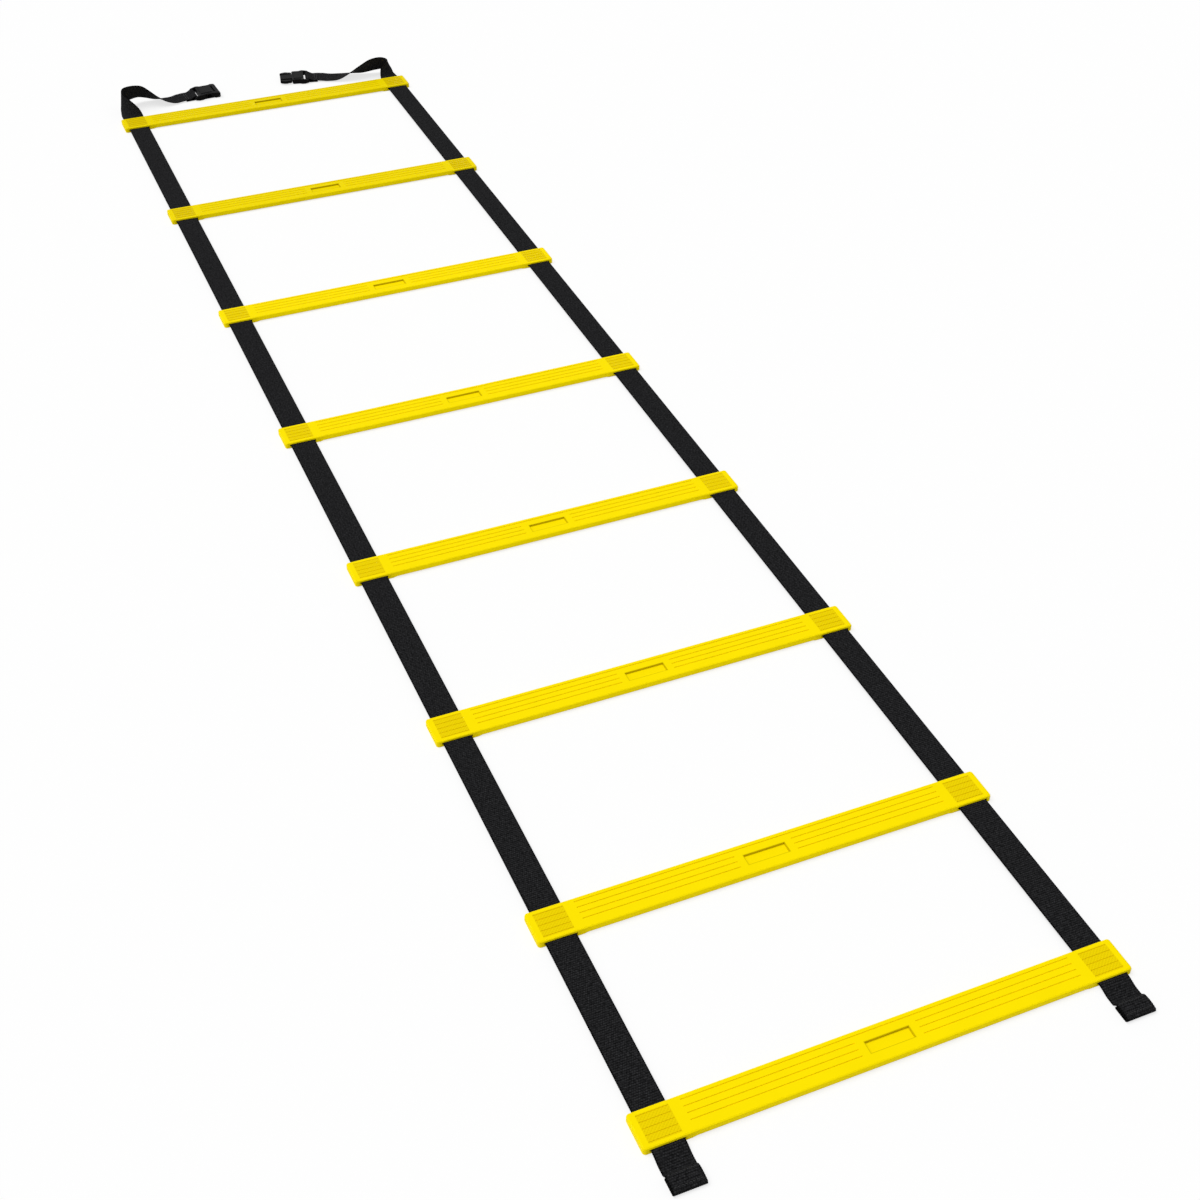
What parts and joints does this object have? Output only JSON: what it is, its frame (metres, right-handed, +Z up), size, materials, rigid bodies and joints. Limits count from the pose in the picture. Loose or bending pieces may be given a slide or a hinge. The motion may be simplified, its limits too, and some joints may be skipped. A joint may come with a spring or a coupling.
{
  "type": "agility ladder",
  "caption": "Folding agility ladder with sliding slat rungs on two webbing straps and a side-release buckle at one end for bundling.",
  "frame": {"origin": "centre of the laid-out ladder's bounding box, on the floor", "axes": "+X along the rungs towards the plug half's strap, +Y along the ladder towards the buckle end, +Z up from the floor"},
  "size_m": [0.46, 2.0946, 0.0362],
  "materials": {
    "yellow_polypropylene": "moulded satin",
    "black_webbing": "woven, matt",
    "black_acetal": "moulded satin"
  },
  "bodies": {
    "panel_1": {"strap_left_1": "black_webbing", "strap_right_1": "black_webbing"},
    "panel_2": {"strap_left_2": "black_webbing", "strap_right_2": "black_webbing"},
    "panel_3": {"strap_left_3": "black_webbing", "strap_right_3": "black_webbing"},
    "panel_4": {"strap_left_4": "black_webbing", "strap_right_4": "black_webbing"},
    "panel_5": {"strap_left_5": "black_webbing", "strap_right_5": "black_webbing"},
    "panel_6": {"strap_left_6": "black_webbing", "strap_right_6": "black_webbing"},
    "panel_7": {"strap_left_7": "black_webbing", "strap_right_7": "black_webbing"},
    "panel_8": {"strap_left_8": "black_webbing", "strap_right_8": "black_webbing"},
    "rung_1": {"rung_1": "yellow_polypropylene"},
    "rung_2": {"rung_2": "yellow_polypropylene"},
    "rung_3": {"rung_3": "yellow_polypropylene"},
    "rung_4": {"rung_4": "yellow_polypropylene"},
    "rung_5": {"rung_5": "yellow_polypropylene"},
    "rung_6": {"rung_6": "yellow_polypropylene"},
    "rung_7": {"rung_7": "yellow_polypropylene"},
    "rung_8": {"rung_8": "yellow_polypropylene"},
    "socket": {"buckle_socket": "black_acetal"},
    "plug": {"buckle_plug": "black_acetal"},
    "arm_near": {"plug_arm_near": "black_acetal"},
    "arm_far": {"plug_arm_far": "black_acetal"}
  },
  "joints": [
    {"name": "fold_1", "type": "hinge", "parent": "panel_2", "child": "panel_1", "pos_m": [0, 0.79195, -0.00035], "axis": [-1, 0, 0], "range_deg": [0, 170]},
    {"name": "fold_2", "type": "hinge", "parent": "panel_3", "child": "panel_2", "pos_m": [0, 0.48205, 0.00715], "axis": [1, 0, 0], "range_deg": [0, 170]},
    {"name": "fold_3", "type": "hinge", "parent": "panel_4", "child": "panel_3", "pos_m": [0, 0.18435, -0.00035], "axis": [-1, 0, 0], "range_deg": [0, 170]},
    {"name": "fold_4", "type": "hinge", "parent": "panel_4", "child": "panel_5", "pos_m": [0, -0.1015, 0.00715], "axis": [-1, 0, 0], "range_deg": [0, 170]},
    {"name": "fold_5", "type": "hinge", "parent": "panel_5", "child": "panel_6", "pos_m": [0, -0.37265, -0.00035], "axis": [1, 0, 0], "range_deg": [0, 170]},
    {"name": "fold_6", "type": "hinge", "parent": "panel_6", "child": "panel_7", "pos_m": [0, -0.63785, 0.00715], "axis": [-1, 0, 0], "range_deg": [0, 170]},
    {"name": "fold_7", "type": "hinge", "parent": "panel_7", "child": "panel_8", "pos_m": [0, -0.88075, -0.00035], "axis": [1, 0, 0], "range_deg": [0, 170]},
    {"name": "rung_1_slide", "type": "slide", "parent": "panel_1", "child": "rung_1", "axis": [0, 1, 0], "range_m": [-0.075, 0]},
    {"name": "rung_2_slide", "type": "slide", "parent": "panel_2", "child": "rung_2", "axis": [0, 1, 0], "range_m": [-0.075, 0.075]},
    {"name": "rung_3_slide", "type": "slide", "parent": "panel_3", "child": "rung_3", "axis": [0, 1, 0], "range_m": [-0.075, 0.075]},
    {"name": "rung_4_slide", "type": "slide", "parent": "panel_4", "child": "rung_4", "axis": [0, 1, 0], "range_m": [-0.075, 0.075]},
    {"name": "rung_5_slide", "type": "slide", "parent": "panel_5", "child": "rung_5", "axis": [0, 1, 0], "range_m": [-0.075, 0.075]},
    {"name": "rung_6_slide", "type": "slide", "parent": "panel_6", "child": "rung_6", "axis": [0, 1, 0], "range_m": [-0.075, 0.075]},
    {"name": "rung_7_slide", "type": "slide", "parent": "panel_7", "child": "rung_7", "axis": [0, 1, 0], "range_m": [-0.075, 0.075]},
    {"name": "rung_8_slide", "type": "slide", "parent": "panel_8", "child": "rung_8", "axis": [0, 1, 0], "range_m": [0, 0.075]},
    {"name": "socket_swing", "type": "hinge", "parent": "panel_1", "child": "socket", "pos_m": [-0.1025, 1.02475, 0.0038], "axis": [0.0523, -0.9986, 0], "range_deg": [-60, 60]},
    {"name": "plug_swing", "type": "hinge", "parent": "panel_1", "child": "plug", "pos_m": [0.085, 1.02475, 0.0038], "axis": [0.2079, 0.9781, 0], "range_deg": [-60, 60]},
    {"name": "arm_near_press", "type": "hinge", "parent": "plug", "child": "arm_near", "pos_m": [0.0549, 1.01684, 0.0038], "axis": [0, 0, -1], "range_deg": [0, 7], "stiffness_Nm_per_rad": 0.3},
    {"name": "arm_far_press", "type": "hinge", "parent": "plug", "child": "arm_far", "pos_m": [0.06072, 1.04422, 0.0038], "axis": [0, 0, 1], "range_deg": [0, 7], "stiffness_Nm_per_rad": 0.3}
  ]
}
